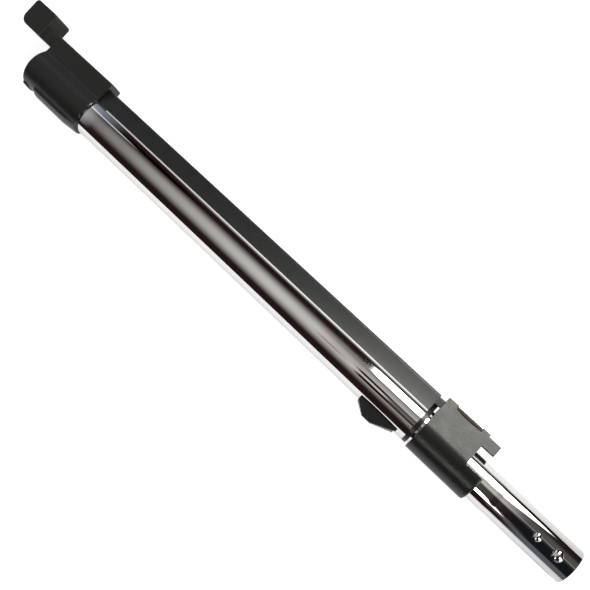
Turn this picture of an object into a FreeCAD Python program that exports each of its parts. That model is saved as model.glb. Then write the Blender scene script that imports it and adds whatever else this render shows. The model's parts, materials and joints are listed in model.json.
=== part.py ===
import FreeCAD, Part
import math
import os

# Telescopic vacuum wand, pushed together and lying on its side. Millimetres.
# X runs along the tubes from the mouth of the nozzle cuff to the hose end,
# Y points to the cord channel and Z is up. The origin is the centre of the cuff's mouth.

# Clearances
SLIP = 0.3           # between pieces that move on each other
SEAT = 0.05          # between pieces that are fixed to each other
STOP_GAP = 0.1       # between a moving piece and the stop it rests against
OVERRUN = 1.0        # how far a cutting shape runs past the face it opens

# Tubes
HOSE_END_R = 15.875  # the land that the hose handle fits on
SWAGE = 0.4          # the rest of the inner tube is this much larger in radius
TUBE_WALL = 0.8
TUBE_GAP = 1.125     # between the inner tube and the outer tube's bore
OUTER_LENGTH = 433.0
INNER_SETBACK = 13.0
HOSE_TAIL = 92.0     # bare tube between the collar and the hose end
SWAGE_LENGTH = 1.0
LAND_START = 19.5    # from the collar's sleeve to the land
LAND_LENGTH = 33.0
END_TAPER = 0.3
END_ROUND = 0.3
TRAVEL = 300.0       # how far the wand pulls out

# Nozzle cuff
CUFF_LENGTH = 76.2   # on the side that lies up; the end slants back from there
CUFF_SLANT = math.radians(9)
FLANK_BLEND = 7.0
CUFF_R = 20.5
SOCKET_R = 16.1
SOCKET_LAND = 24.0
SOCKET_RELIEF = 0.5
SOCKET_DEPTH = 45.0
SHOULDER = 2.0
BOX_HALF = 13.0
LID_SEAT = 32.6
LID_THICK = 2.8
LID_ROUND = 2.4
HEEL_HALF = 13.2
HEEL_START = 16.5
HEEL_SLANT = 1.6
HEEL_DEPTH = 1.9
HEEL_FLAT = 40.0
LIP_LENGTH = 5.5
LIP_HALF = 8.0
LIP_DEPTH = 1.1

# Foot pedal and neck catch
PEDAL_TRAVEL = 6.0
CATCH_LIFT = 3.0
PAD_LENGTH = 28.0
PAD_WIDTH = 26.0
PAD_HALF = 13.7
PAD_WALL = 2.4
PAD_TIP_ROUND = 8.0
PAD_ROUND = 3.0
PAD_EDGE = 0.9
ARM_OUT = 17.0
ARM_FLOOR = 21.5
ARM_HEIGHT = 10.5
ARM_HALF = 9.7
GUSSET_LENGTH = 7.0  # the arm widens to the pad
GUSSET_RISE = 3.2
ARM_POCKET = 12.0
ABUTMENT = 3.0
ROOM_HALF = 6.0
ROOM_END = 57.0
STEM_HALF = 2.5
STEM_Y = 27.0
FLANGE_X = 28.0
FLANGE_THICK = 2.0
FLANGE_HALF = 5.5
CAM_END = 45.5
CATCH_X = 36.0
CATCH_LENGTH = 10.0
CATCH_HALF = 5.4
CATCH_BITE = 2.4
CATCH_HEIGHT = 4.2
CATCH_LEAD = 2.0
CHEEK_LENGTH = 7.0
CHEEK_TOP = 28.0
PIN_R = 1.5
PIN_Y = 25.2
PEDAL_COIL_R = 4.6
PEDAL_WIRE_R = 0.5
PEDAL_TURNS = 4
SCREW_R = 1.25
LID_SCREW_LENGTH = 9.0
HEAD_R = 2.6
HEAD_DEPTH = 1.6
DRIVE_LENGTH = 2.6
DRIVE_WIDTH = 0.7
DRIVE_DEPTH = 0.8
LID_SCREW_X = (20.0, 48.0)
LID_SCREW_Z = 9.5

# Cord channel and rail
CHANNEL_FOOT = 14.0
CHANNEL_HALF = 11.4     # half width at the foot
CHANNEL_WAIST_Y = 20.5
CHANNEL_WAIST = 9.1     # half width where the flanks turn steeper
CHANNEL_TOP = 30.2
CHANNEL_RIDGE = 6.4     # half width at the top
CHANNEL_WALL = 1.3
CHANNEL_FLOOR = 1.4
CHANNEL_ROUND = 2.4
CHANNEL_INSET = 19.7
RAIL_WALL = 1.2
RAIL_FOOT = 21.7
RAIL_ROUND = 0.8
RAIL_START = 80.0    # from the outer tube's lower end to the rail's free end
RAIL_INSET = 7.0

# Guide bush
BUSH_RIM = 4.0
BUSH_DEPTH = 18.0
LUG_TOP = 22.4
LUG_HALF = 4.4
LUG_GROOVE = 1.0

# Thumb slider, its bed and the lock roller
SLIDER_INSET = 7.4     # from the slider to the outer tube's end
SLIDER_LENGTH = 39.3
SLIDER_HALF = 11.2
SLIDER_WALL = 1.6
PEAK_START = 10.7
PEAK_LENGTH = 9.0
PEAK_Y = 26.8
FRONT_Y = 20.0
REAR_Y = 19.0
CROWN_HALF = 2.0       # half width of the ramps' straight middle
RAMP_CROWN = 2.4       # how far the ramps' ends fall back at the flanks
PEAK_CROWN = 0.9
ROOM_WIDTH = 4.0
FRONT_RIBS = 4
REAR_RIBS = 8
RIB_CUT = 0.45
LATCH_TRAVEL = 5.0
ROLLER_LIFT = 1.2
ROLLER_R = 2.6
ROLLER_HALF = 8.9
ROLLER_END = 0.4
BED_THICK = 1.0
BED_HALF = 9.0
BED_MARGIN = 3.0
RUNNER_ROOT = 0.45
RUNNER_OUT = 1.4
RUNNER_HEIGHT = 1.2
BOW_THICK = 0.3
BOW_HALF = 3.0
DIMPLE_PITCH = 25.0
DIMPLE_DEPTH = 1.0

# Inner end guide and seal
GUIDE_LENGTH = 16.0
GUIDE_RIM = 5.0
SEAL_WIDTH = 3.0
SEAL_DEPTH = 0.4
SEAL_SLIP = 0.15

# Collar
COLLAR_GAP = 2.0
COLLAR_LENGTH = 42.5
SLEEVE_LENGTH = 59.6
COLLAR_R = 20.0
COLLAR_TILT = 20.0      # degrees that each flank leans in
COLLAR_TOP = 33.3
COLLAR_ROUND = 1.4
SLEEVE_EDGE = 3.4       # the sleeve's open edge above the axis
SLEEVE_ROUND = 2.2
WIRE_ROOM_FLOOR = 17.6
WIRE_ROOM_START = 9.0
WIRE_ROOM_LENGTH = 24.0
WIRE_ROOM_WALL = 2.5
WIRE_PASS_HALF = 4.0
COVER_THICK = 2.0
COVER_MARGIN = 7.4
COVER_LEDGE = 1.2
COVER_SCREW_LENGTH = 4.5

# Collar button
BUTTON_X = 9.5
BUTTON_LENGTH = 25.5
BUTTON_HALF = 7.4
BUTTON_TOP = 35.0
BUTTON_FOOT = 28.5
BUTTON_TRAVEL = 2.5
BUTTON_WALL = 1.5
BUTTON_ROUND = 2.6
BUTTON_LUG = 0.9
BUTTON_LUG_HEIGHT = 1.5
BUTTON_LUG_HALF = 6.0
POCKET_FLOOR = 1.2
NOTCH_Y = 29.2
NOTCH_SAG = 0.8
BUTTON_COIL_R = 3.2
BUTTON_WIRE_R = 0.35
BUTTON_TURNS = 4

# Plug shroud and contact blades
PLUG_OUT = 12.5
PLUG_SEAT = 5.0
PLUG_FLOOR = 21.7
PLUG_TOP = 31.5
PLUG_HALF = 9.6          # half width at its floor
PLUG_WALL = 1.2
PLUG_BACK = 3.0
PLUG_EDGE = 0.7
BLADE_Z = 4.2
BLADE_THICK = 0.8
BLADE_SETBACK = 2.5
BLADE_MARGIN = 1.2
TAIL_HEIGHT = 1.1
TAIL_LENGTH = 9.0

# Hose end buttons and their leaf spring
FRONT_BUTTON_X = 57.0   # from the collar's sleeve
FRONT_BUTTON_R = 3.5
FRONT_BUTTON_RISE = 1.5
LOCK_BUTTON_X = 76.4
LOCK_BUTTON_R = 4.6
LOCK_BUTTON_RISE = 1.9
BUTTON_SHOULDER = 1.0
BUTTON_BASE = 0.7
LEAF_DROP = 1.9
LEAF_THICK = 0.6
LEAF_HALF = 4.0
LEAF_START = 36.0
LEAF_PAD = 9.0
LEAF_BEND = 5.0
LEAF_TAIL = 8.0

# Sizes that follow from the ones above
INNER_R = HOSE_END_R + SWAGE
INNER_BORE = INNER_R - TUBE_WALL
HOSE_BORE = HOSE_END_R - TUBE_WALL
OUTER_BORE = INNER_R + TUBE_GAP
OUTER_R = OUTER_BORE + TUBE_WALL
OUTER_X0 = SOCKET_DEPTH + SHOULDER
OUTER_X1 = OUTER_X0 + OUTER_LENGTH
INNER_X0 = OUTER_X0 + INNER_SETBACK
BUSH_X1 = OUTER_X1 + BUSH_RIM
COLLAR_X0 = BUSH_X1 + COLLAR_GAP
COLLAR_X1 = COLLAR_X0 + COLLAR_LENGTH
SLEEVE_X1 = COLLAR_X0 + SLEEVE_LENGTH
INNER_X1 = SLEEVE_X1 + HOSE_TAIL
COLLAR_LEAN = math.radians(COLLAR_TILT)
PAD_X1 = -ARM_OUT
PAD_X0 = PAD_X1 - PAD_LENGTH
PEDAL_Y0 = ARM_FLOOR + SLIP
ARM_X1 = ARM_POCKET - STOP_GAP
ROOM_X0 = ARM_POCKET + ABUTMENT
CATCH_TIP = SOCKET_R + SOCKET_RELIEF - CATCH_BITE
CHANNEL_X0 = CUFF_LENGTH - CHANNEL_INSET
CHANNEL_SEAT_R = OUTER_R + SEAT
RAIL_TOP = CHANNEL_TOP - CHANNEL_WALL - SLIP
RAIL_X1 = COLLAR_X0 + RAIL_INSET
SLIDER_X1 = OUTER_X1 - SLIDER_INSET
SLIDER_X = SLIDER_X1 - SLIDER_LENGTH
ROLLER_X = SLIDER_X + PEAK_START + PEAK_LENGTH / 2
ROLLER_Y = -(INNER_R + SLIP + ROLLER_R)
BED_R = OUTER_R + SEAT + BED_THICK
RUNNER_Y = -math.sqrt(BED_R ** 2 - BED_HALF ** 2)
RUNNER_HALF = BED_HALF + RUNNER_OUT
POCKET_Y = BUTTON_FOOT - BUTTON_TRAVEL - STOP_GAP
BUTTON_X0 = COLLAR_X0 + BUTTON_X
BUTTON_X1 = BUTTON_X0 + BUTTON_LENGTH
WIRE_ROOM_TOP = POCKET_Y - POCKET_FLOOR
WIRE_ROOM_X0 = COLLAR_X0 + WIRE_ROOM_START
WIRE_ROOM_X1 = WIRE_ROOM_X0 + WIRE_ROOM_LENGTH
PLUG_X0 = COLLAR_X1 - PLUG_SEAT
PLUG_X1 = COLLAR_X1 + PLUG_OUT
LEAF_TOP = HOSE_BORE - LEAF_DROP


# Shape helpers; a span is a (low, high) pair

def box(x, y, z):
    return Part.makeBox(x[1] - x[0], y[1] - y[0], z[1] - z[0], FreeCAD.Vector(x[0], y[0], z[0]))


def both(half, middle=0.0):
    return (middle - half, middle + half)


def rod_x(radius, x, y=0.0, z=0.0):
    return Part.makeCylinder(radius, x[1] - x[0], FreeCAD.Vector(x[0], y, z), FreeCAD.Vector(1, 0, 0))


def rod_y(radius, y, x, z):
    return Part.makeCylinder(radius, y[1] - y[0], FreeCAD.Vector(x, y[0], z), FreeCAD.Vector(0, 1, 0))


def rod_z(radius, z, x, y):
    return Part.makeCylinder(radius, z[1] - z[0], FreeCAD.Vector(x, y, z[0]), FreeCAD.Vector(0, 0, 1))


def ring_x(outer, inner, x):
    return rod_x(outer, x).cut(rod_x(inner, (x[0] - OVERRUN, x[1] + OVERRUN)))


def face_xy(points, z=0.0):
    corners = [FreeCAD.Vector(px, py, z) for px, py in points]
    return Part.Face(Part.makePolygon(corners + corners[:1]))


def plate_z(points, z):
    return face_xy(points, z[0]).extrude(FreeCAD.Vector(0, 0, z[1] - z[0]))


def ridge_x(section, x):
    # a symmetric bar along X; the section is the (height, half width) pairs of its one side
    near = [FreeCAD.Vector(x[0], y, z) for y, z in section]
    far = [FreeCAD.Vector(x[0], y, -z) for y, z in reversed(section)]
    outline = Part.makePolygon(near + far + near[:1])
    return Part.Face(outline).extrude(FreeCAD.Vector(x[1] - x[0], 0, 0))


def turned_x(points):
    # points are (x, radius) pairs of a closed half section
    corners = [FreeCAD.Vector(px, pr, 0) for px, pr in points]
    face = Part.Face(Part.makePolygon(corners + corners[:1]))
    return face.revolve(FreeCAD.Vector(0, 0, 0), FreeCAD.Vector(1, 0, 0), 360)


def plate_y(points, y):
    corners = [FreeCAD.Vector(px, y[0], pz) for px, pz in points]
    return Part.Face(Part.makePolygon(corners + corners[:1])).extrude(FreeCAD.Vector(0, y[1] - y[0], 0))


def slot_z(start, end, radius, z):
    # the space a pin of this radius sweeps from start to end
    length = math.hypot(end[0] - start[0], end[1] - start[1])
    side = (-(end[1] - start[1]) / length * radius, (end[0] - start[0]) / length * radius)
    middle = plate_z([(start[0] + side[0], start[1] + side[1]), (end[0] + side[0], end[1] + side[1]),
                      (end[0] - side[0], end[1] - side[1]), (start[0] - side[0], start[1] - side[1])], z)
    return middle.fuse([rod_z(radius, z, *start), rod_z(radius, z, *end)]).removeSplitter()


def edges_on(shape, **planes):
    # the edges whose corners all lie at the given x, y or z
    tolerance = 1e-4
    found = []
    for edge in shape.Edges:
        corners = [vertex.Point for vertex in edge.Vertexes]
        if all(abs(getattr(p, axis) - value) < tolerance for p in corners for axis, value in planes.items()):
            found.append(edge)
    return found


def coil(radius, wire, turns, length):
    # a spring along Z from 0 to length, drawn with a six-sided wire
    sides = 6
    rise = length - 2 * wire
    helix = Part.makeHelix(rise / turns, rise, radius)
    section = [FreeCAD.Vector(radius + wire * math.cos(math.tau * i / sides), 0,
                              wire * math.sin(math.tau * i / sides)) for i in range(sides)]
    profile = Part.makePolygon(section + section[:1])
    spring = Part.Wire(helix.Edges).makePipeShell([profile], True, True)
    spring.translate(FreeCAD.Vector(0, 0, wire))
    return spring


def screw(length):
    # a pan head screw along -Z with its seat at the origin
    head = Part.makeCylinder(HEAD_R, HEAD_DEPTH)
    shank = Part.makeCylinder(SCREW_R, length + HEAD_DEPTH, FreeCAD.Vector(0, 0, -length))
    depth = (HEAD_DEPTH - DRIVE_DEPTH, HEAD_DEPTH + OVERRUN)
    cross = [box(both(DRIVE_LENGTH / 2), both(DRIVE_WIDTH / 2), depth),
             box(both(DRIVE_WIDTH / 2), both(DRIVE_LENGTH / 2), depth)]
    return head.fuse(shank).cut(cross)


# Sections of the channel, the rail, the collar and the plug

def channel_half(y):
    # half width of the channel above its waist
    share = (y - CHANNEL_WAIST_Y) / (CHANNEL_TOP - CHANNEL_WAIST_Y)
    return CHANNEL_WAIST + share * (CHANNEL_RIDGE - CHANNEL_WAIST)


def channel_section(inset=0.0):
    top = CHANNEL_TOP - inset
    return [(CHANNEL_FOOT, CHANNEL_HALF - inset), (CHANNEL_WAIST_Y, CHANNEL_WAIST - inset),
            (top, channel_half(top) - inset)]


def rail_section(inset=0.0):
    side = CHANNEL_WALL + SLIP + inset
    foot, top = RAIL_FOOT + inset, RAIL_TOP - inset
    return [(foot, channel_half(foot) - side), (top, channel_half(top) - side)]


def collar_half(y):
    # half width of the collar on its flanks, which touch its round back
    return (COLLAR_R - y * math.sin(COLLAR_LEAN)) / math.cos(COLLAR_LEAN)


def plug_section(inset=0.0):
    foot, top = PLUG_FLOOR + inset, PLUG_TOP - inset
    lean = math.tan(COLLAR_LEAN)
    return [(y, PLUG_HALF - (y - PLUG_FLOOR) * lean - inset) for y in (foot, top)]


# Lower wand

def outer_tube():
    tube = ring_x(OUTER_R, OUTER_BORE, (OUTER_X0, OUTER_X1))
    opening = box(both(ROLLER_R + SLIP, ROLLER_X), (-OUTER_R - OVERRUN, 0), both(BED_HALF))
    return tube.cut(opening)


def lid_screw_places():
    return [(x, side * LID_SCREW_Z) for x in LID_SCREW_X for side in (-1, 1)]


def cuff_heel():
    # the raised heel under the cuff, with the lip and notch at the mouth
    deep = CUFF_R + HEEL_DEPTH
    heel = turned_x([(HEEL_START, 0), (HEEL_START, CUFF_R), (HEEL_START + HEEL_SLANT, deep),
                     (HEEL_START + HEEL_FLAT, deep), (CUFF_LENGTH, CUFF_R), (CUFF_LENGTH, 0)])
    heel = heel.common(box((0, CUFF_LENGTH), (-deep, 0), both(HEEL_HALF)))
    lip = rod_x(CUFF_R + LIP_DEPTH, (0, LIP_LENGTH)).common(
        box((0, LIP_LENGTH), (-deep, 0), both(LIP_HALF)))
    return heel.fuse(lip)


def past_cuff_end():
    # the space beyond the cuff's slanted end
    reach = LID_SEAT + LID_THICK + CUFF_R
    space = box((CUFF_LENGTH, CUFF_LENGTH + reach), both(reach), (CUFF_R - 2 * reach, CUFF_R + reach))
    space.rotate(FreeCAD.Vector(CUFF_LENGTH, 0, CUFF_R), FreeCAD.Vector(0, 1, 0), math.degrees(CUFF_SLANT))
    return space


def nozzle_cuff():
    barrel = rod_x(CUFF_R, (0, CUFF_LENGTH))
    case = box((0, CUFF_LENGTH), (0, LID_SEAT), both(BOX_HALF))
    body = barrel.fuse(case).removeSplitter()
    crease = math.sqrt(CUFF_R ** 2 - BOX_HALF ** 2)
    body = body.makeFillet(FLANK_BLEND, edges_on(body, y=crease, z=BOX_HALF)
                           + edges_on(body, y=crease, z=-BOX_HALF))
    body = body.fuse(cuff_heel())
    relief_r = SOCKET_R + SOCKET_RELIEF
    room_top = (ARM_FLOOR, LID_SEAT + OVERRUN)
    cuts = [
        rod_x(SOCKET_R, (-OVERRUN, SOCKET_LAND)),
        rod_x(relief_r, (SOCKET_LAND, SOCKET_DEPTH)),
        rod_x(OUTER_BORE, (SOCKET_DEPTH, OUTER_X0)),
        rod_x(OUTER_R + SEAT, (OUTER_X0, CUFF_LENGTH + OVERRUN)),
        box((-OVERRUN, ARM_POCKET), room_top, both(ARM_HALF + SLIP)),
        box((ARM_POCKET - OVERRUN, ROOM_X0 + OVERRUN), (STEM_Y - STEM_HALF - SLIP, LID_SEAT + OVERRUN),
            both(STEM_HALF + SLIP)),
        box((ROOM_X0, ROOM_END), room_top, both(ROOM_HALF)),
        box(both(CATCH_LENGTH / 2 + SLIP, CATCH_X), (0, ARM_FLOOR + OVERRUN), both(CATCH_HALF + SLIP)),
        ridge_x(channel_section(-SEAT), (CHANNEL_X0 - SEAT, CUFF_LENGTH + OVERRUN)),
    ]
    cuts += [rod_y(SCREW_R + SEAT, (LID_SEAT - LID_SCREW_LENGTH, LID_SEAT + OVERRUN), x, z)
             for x, z in lid_screw_places()]
    return body.cut(cuts + [past_cuff_end()])


def cuff_lid():
    lid = box((0, CUFF_LENGTH), (LID_SEAT, LID_SEAT + LID_THICK), both(BOX_HALF))
    lid = lid.makeFillet(LID_ROUND, edges_on(lid, y=LID_SEAT + LID_THICK, z=BOX_HALF)
                         + edges_on(lid, y=LID_SEAT + LID_THICK, z=-BOX_HALF))
    seat = LID_SEAT + LID_THICK - HEAD_DEPTH
    cuts = []
    for x, z in lid_screw_places():
        cuts.append(rod_y(HEAD_R + SEAT, (seat, seat + HEAD_DEPTH + OVERRUN), x, z))
        cuts.append(rod_y(SCREW_R + SEAT, (LID_SEAT - OVERRUN, seat + OVERRUN), x, z))
    return lid.cut(cuts + [past_cuff_end()])


def lid_screws():
    seat = LID_SEAT + LID_THICK - HEAD_DEPTH
    screws = []
    for x, z in lid_screw_places():
        one = screw(LID_SCREW_LENGTH)
        one.rotate(FreeCAD.Vector(0, 0, 0), FreeCAD.Vector(1, 0, 0), -90)
        one.translate(FreeCAD.Vector(x, seat, z))
        screws.append(one)
    return Part.makeCompound(screws)


def pedal_spring():
    spring = coil(PEDAL_COIL_R, PEDAL_WIRE_R, PEDAL_TURNS, FLANGE_X - ROOM_X0 - 2 * SEAT)
    spring.rotate(FreeCAD.Vector(0, 0, 0), FreeCAD.Vector(0, 1, 0), 90)
    spring.translate(FreeCAD.Vector(ROOM_X0 + SEAT, STEM_Y, 0))
    return spring


def cord_channel():
    span = (CHANNEL_X0, OUTER_X1)
    past = (span[0] - OVERRUN, span[1] + OVERRUN)
    channel = ridge_x(channel_section(), span)
    channel = channel.makeFillet(CHANNEL_ROUND, edges_on(channel, y=CHANNEL_TOP, z=CHANNEL_RIDGE)
                                 + edges_on(channel, y=CHANNEL_TOP, z=-CHANNEL_RIDGE))
    inside = ridge_x(channel_section(CHANNEL_WALL), past)
    inside = inside.cut(rod_x(CHANNEL_SEAT_R + CHANNEL_FLOOR, (past[0] - OVERRUN, past[1] + OVERRUN)))
    return channel.cut([rod_x(CHANNEL_SEAT_R, past), inside])


def guide_bush():
    bore = INNER_R + SLIP
    rim = ring_x(OUTER_R, bore, (OUTER_X1, BUSH_X1))
    spigot = ring_x(OUTER_BORE - SEAT, bore, (OUTER_X1 - BUSH_DEPTH, OUTER_X1))
    middle = (OUTER_R + LUG_TOP) / 2
    lug = box((OUTER_X1, BUSH_X1), ((bore + OUTER_R) / 2, LUG_TOP), both(LUG_HALF))
    groove = box((OUTER_X1 - OVERRUN, BUSH_X1 + OVERRUN), both(LUG_GROOVE / 2, middle),
                 (LUG_HALF - LUG_GROOVE, LUG_HALF + OVERRUN))
    lug = lug.cut([groove, groove.mirror(FreeCAD.Vector(0, 0, 0), FreeCAD.Vector(0, 0, 1))])
    lug = lug.cut(rod_x(bore, (OUTER_X1 - OVERRUN, BUSH_X1 + OVERRUN)))
    return rim.fuse([spigot, lug]).removeSplitter()


def latch_bed():
    span = (SLIDER_X + BED_MARGIN, SLIDER_X1 - BED_MARGIN)
    plate = ring_x(BED_R, OUTER_R + SEAT, span).common(box(span, (-BED_R, 0), both(BED_HALF)))
    runners = []
    for side in (-1, 1):
        edge = sorted((side * (BED_HALF - RUNNER_ROOT), side * RUNNER_HALF))
        runners.append(box(span, both(RUNNER_HEIGHT / 2, RUNNER_Y), edge))
    window = box(both(ROLLER_R + SLIP, ROLLER_X), (-BED_R - OVERRUN, 0), both(ROLLER_HALF + SLIP))
    return plate.fuse(runners).removeSplitter().cut([window, rod_x(OUTER_R + SEAT, span)])


# Thumb slider and lock roller

def slider_outline(end_inset, ramp_inset, peak_inset):
    # the wedge's outline in XY, with its ends, ramps and peak drawn in by the given amounts
    front_slope = (PEAK_Y - FRONT_Y) / PEAK_START
    rear_slope = (PEAK_Y - REAR_Y) / (SLIDER_LENGTH - PEAK_START - PEAK_LENGTH)
    peak = PEAK_Y - peak_inset
    front, rear = SLIDER_X + end_inset, SLIDER_X1 - end_inset
    front_y = FRONT_Y - ramp_inset + front_slope * end_inset
    rear_y = REAR_Y - ramp_inset + rear_slope * end_inset
    return [(front, 0), (front, -front_y), (SLIDER_X + PEAK_START, -peak),
            (SLIDER_X + PEAK_START + PEAK_LENGTH, -peak), (rear, -rear_y), (rear, 0)]


def rib_cuts():
    # grooves across the two ramps, which follow their crown
    cuts = []
    outlines = ((slider_outline(0, 0, 0), CROWN_HALF),
                (slider_outline(0, RAMP_CROWN, PEAK_CROWN), SLIDER_HALF))
    for foot, top, count in ((1, 2, FRONT_RIBS), (4, 3, REAR_RIBS)):
        for i in range(count):
            share = (i + 0.5) / count
            for side in (-1, 1):
                inner, outer = [FreeCAD.Vector(*points[foot], side * half) * (1 - share)
                                + FreeCAD.Vector(*points[top], side * half) * share
                                for points, half in outlines]
                run = outer - inner
                cuts.append(Part.makeCylinder(RIB_CUT, run.Length + OVERRUN, inner, run))
            cuts.append(rod_z(RIB_CUT, both(CROWN_HALF), inner.x, inner.y))
    return cuts


def thumb_slider():
    full = slider_outline(0, 0, 0)
    drawn_in = slider_outline(0, RAMP_CROWN, PEAK_CROWN)
    wedge = plate_z(full, both(CROWN_HALF))
    for side in (-1, 1):
        wires = [face_xy(full, side * CROWN_HALF).OuterWire, face_xy(drawn_in, side * SLIDER_HALF).OuterWire]
        wedge = wedge.fuse(Part.makeLoft(wires, True, True))
    span = (SLIDER_X - OVERRUN, SLIDER_X1 + OVERRUN)
    bed_room = rod_x(BED_R + SLIP, span).common(box(span, (-BED_R - OVERRUN, 0), both(BED_HALF + SLIP)))
    rest = (ROLLER_X, ROLLER_Y)
    pressed = (ROLLER_X - LATCH_TRAVEL, ROLLER_Y - ROLLER_LIFT)
    cuts = rib_cuts() + [
        rod_x(OUTER_R + SLIP, span),
        bed_room,
        box(span, both(RUNNER_HEIGHT / 2 + SLIP, RUNNER_Y), both(RUNNER_HALF + SLIP)),
        plate_z(slider_outline(SLIDER_WALL, SLIDER_WALL, SLIDER_WALL), both(ROOM_WIDTH)),
        slot_z(rest, pressed, ROLLER_R + SLIP, both(ROLLER_HALF + SLIP)),
    ]
    return wedge.cut(cuts).removeSplitter()


def roller_spring():
    # a bowed strip between the slider's roof and the roller
    roof = -(PEAK_Y - SLIDER_WALL) + SEAT
    back = ROLLER_Y - ROLLER_R - SEAT
    half = (PEAK_LENGTH - SLIDER_WALL) / 2
    near = Part.Arc(FreeCAD.Vector(ROLLER_X - half, roof + BOW_THICK, 0), FreeCAD.Vector(ROLLER_X, back, 0),
                    FreeCAD.Vector(ROLLER_X + half, roof + BOW_THICK, 0)).toShape()
    far = Part.Arc(FreeCAD.Vector(ROLLER_X - half, roof, 0), FreeCAD.Vector(ROLLER_X, back - BOW_THICK, 0),
                   FreeCAD.Vector(ROLLER_X + half, roof, 0)).toShape()
    ends = [Part.makeLine(near.Vertexes[i].Point, far.Vertexes[i].Point) for i in (0, 1)]
    strip = Part.Face(Part.Wire(Part.__sortEdges__([near, ends[0], far, ends[1]])))
    strip.translate(FreeCAD.Vector(0, 0, -BOW_HALF))
    return strip.extrude(FreeCAD.Vector(0, 0, 2 * BOW_HALF))


def lock_roller():
    roller = rod_z(ROLLER_R, both(ROLLER_HALF), ROLLER_X, ROLLER_Y)
    return roller.makeChamfer(ROLLER_END, edges_on(roller, z=ROLLER_HALF) + edges_on(roller, z=-ROLLER_HALF))


# Foot pedal and neck catch

def pedal_pad():
    top = PEDAL_Y0 + PAD_WIDTH
    pad = box((PAD_X0, PAD_X1), (PEDAL_Y0, top), both(PAD_HALF))
    pad = pad.makeFillet(PAD_TIP_ROUND, edges_on(pad, x=PAD_X0, y=PEDAL_Y0))
    pad = pad.makeFillet(PAD_ROUND, edges_on(pad, x=PAD_X0, y=top) + edges_on(pad, x=PAD_X1, y=top))
    pad = pad.makeFillet(PAD_EDGE, edges_on(pad, z=PAD_HALF) + edges_on(pad, z=-PAD_HALF))
    hollow = box((PAD_X0 + PAD_WALL, PAD_X1 - PAD_WALL), (PEDAL_Y0 + PAD_WALL, top - PAD_WALL),
                 both(PAD_HALF - PAD_WALL))
    hollow = hollow.makeFillet(PAD_TIP_ROUND - PAD_WALL,
                               edges_on(hollow, x=PAD_X0 + PAD_WALL, y=PEDAL_Y0 + PAD_WALL))
    mouth = box((PAD_X0 - OVERRUN, PAD_X0 + PAD_WALL + OVERRUN), (PEDAL_Y0 + PAD_TIP_ROUND, top - PAD_ROUND),
                both(PAD_HALF - PAD_WALL))
    return pad.cut([hollow, mouth])


def release_pedal():
    room = (PEDAL_Y0, LID_SEAT - SLIP)
    height = (PEDAL_Y0, PEDAL_Y0 + ARM_HEIGHT)
    arm = box((PAD_X1 - PAD_WALL, ARM_X1), height, both(ARM_HALF))
    root = ARM_HALF + GUSSET_RISE
    gussets = plate_y([(PAD_X1 - PAD_WALL, -root), (PAD_X1, -root), (PAD_X1 + GUSSET_LENGTH, -ARM_HALF),
                       (PAD_X1 + GUSSET_LENGTH, ARM_HALF), (PAD_X1, root), (PAD_X1 - PAD_WALL, root)], height)
    stem = box((ARM_X1 - OVERRUN, FLANGE_X + OVERRUN), both(STEM_HALF, STEM_Y), both(STEM_HALF))
    flange = box((FLANGE_X, FLANGE_X + FLANGE_THICK), room, both(FLANGE_HALF))
    cam = box((FLANGE_X, CAM_END), room, both(STEM_HALF))
    slot = slot_z((CATCH_X, PIN_Y), (CATCH_X + PEDAL_TRAVEL, PIN_Y + CATCH_LIFT), PIN_R + SLIP,
                  both(STEM_HALF + OVERRUN))
    return pedal_pad().fuse([arm, gussets, stem, flange, cam]).removeSplitter().cut(slot)


def neck_catch():
    nose_top = CATCH_TIP + CATCH_HEIGHT
    nose = plate_z([(CATCH_X - CATCH_LENGTH / 2, nose_top),
                    (CATCH_X - CATCH_LENGTH / 2, CATCH_TIP + CATCH_LEAD),
                    (CATCH_X - CATCH_LENGTH / 2 + CATCH_LEAD, CATCH_TIP),
                    (CATCH_X + CATCH_LENGTH / 2, CATCH_TIP),
                    (CATCH_X + CATCH_LENGTH / 2, nose_top)], both(CATCH_HALF))
    cheeks = []
    for side in (-1, 1):
        width = sorted((side * (STEM_HALF + SLIP), side * CATCH_HALF))
        cheeks.append(box(both(CHEEK_LENGTH / 2, CATCH_X), (CATCH_TIP + CATCH_LEAD, CHEEK_TOP), width))
    hole = rod_z(PIN_R + SEAT, both(CATCH_HALF + OVERRUN), CATCH_X, PIN_Y)
    return nose.fuse(cheeks).removeSplitter().cut(hole)


def catch_pin():
    return rod_z(PIN_R, both(CATCH_HALF), CATCH_X, PIN_Y)


# Upper wand

def dimple_places():
    count = int(TRAVEL / DIMPLE_PITCH)
    return [ROLLER_X - (i + 1) * DIMPLE_PITCH for i in range(count)]


def hose_end_buttons():
    # place along the wand, radius and rise of each button
    return ((SLEEVE_X1 + FRONT_BUTTON_X, FRONT_BUTTON_R, FRONT_BUTTON_RISE),
            (SLEEVE_X1 + LOCK_BUTTON_X, LOCK_BUTTON_R, LOCK_BUTTON_RISE))


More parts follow.
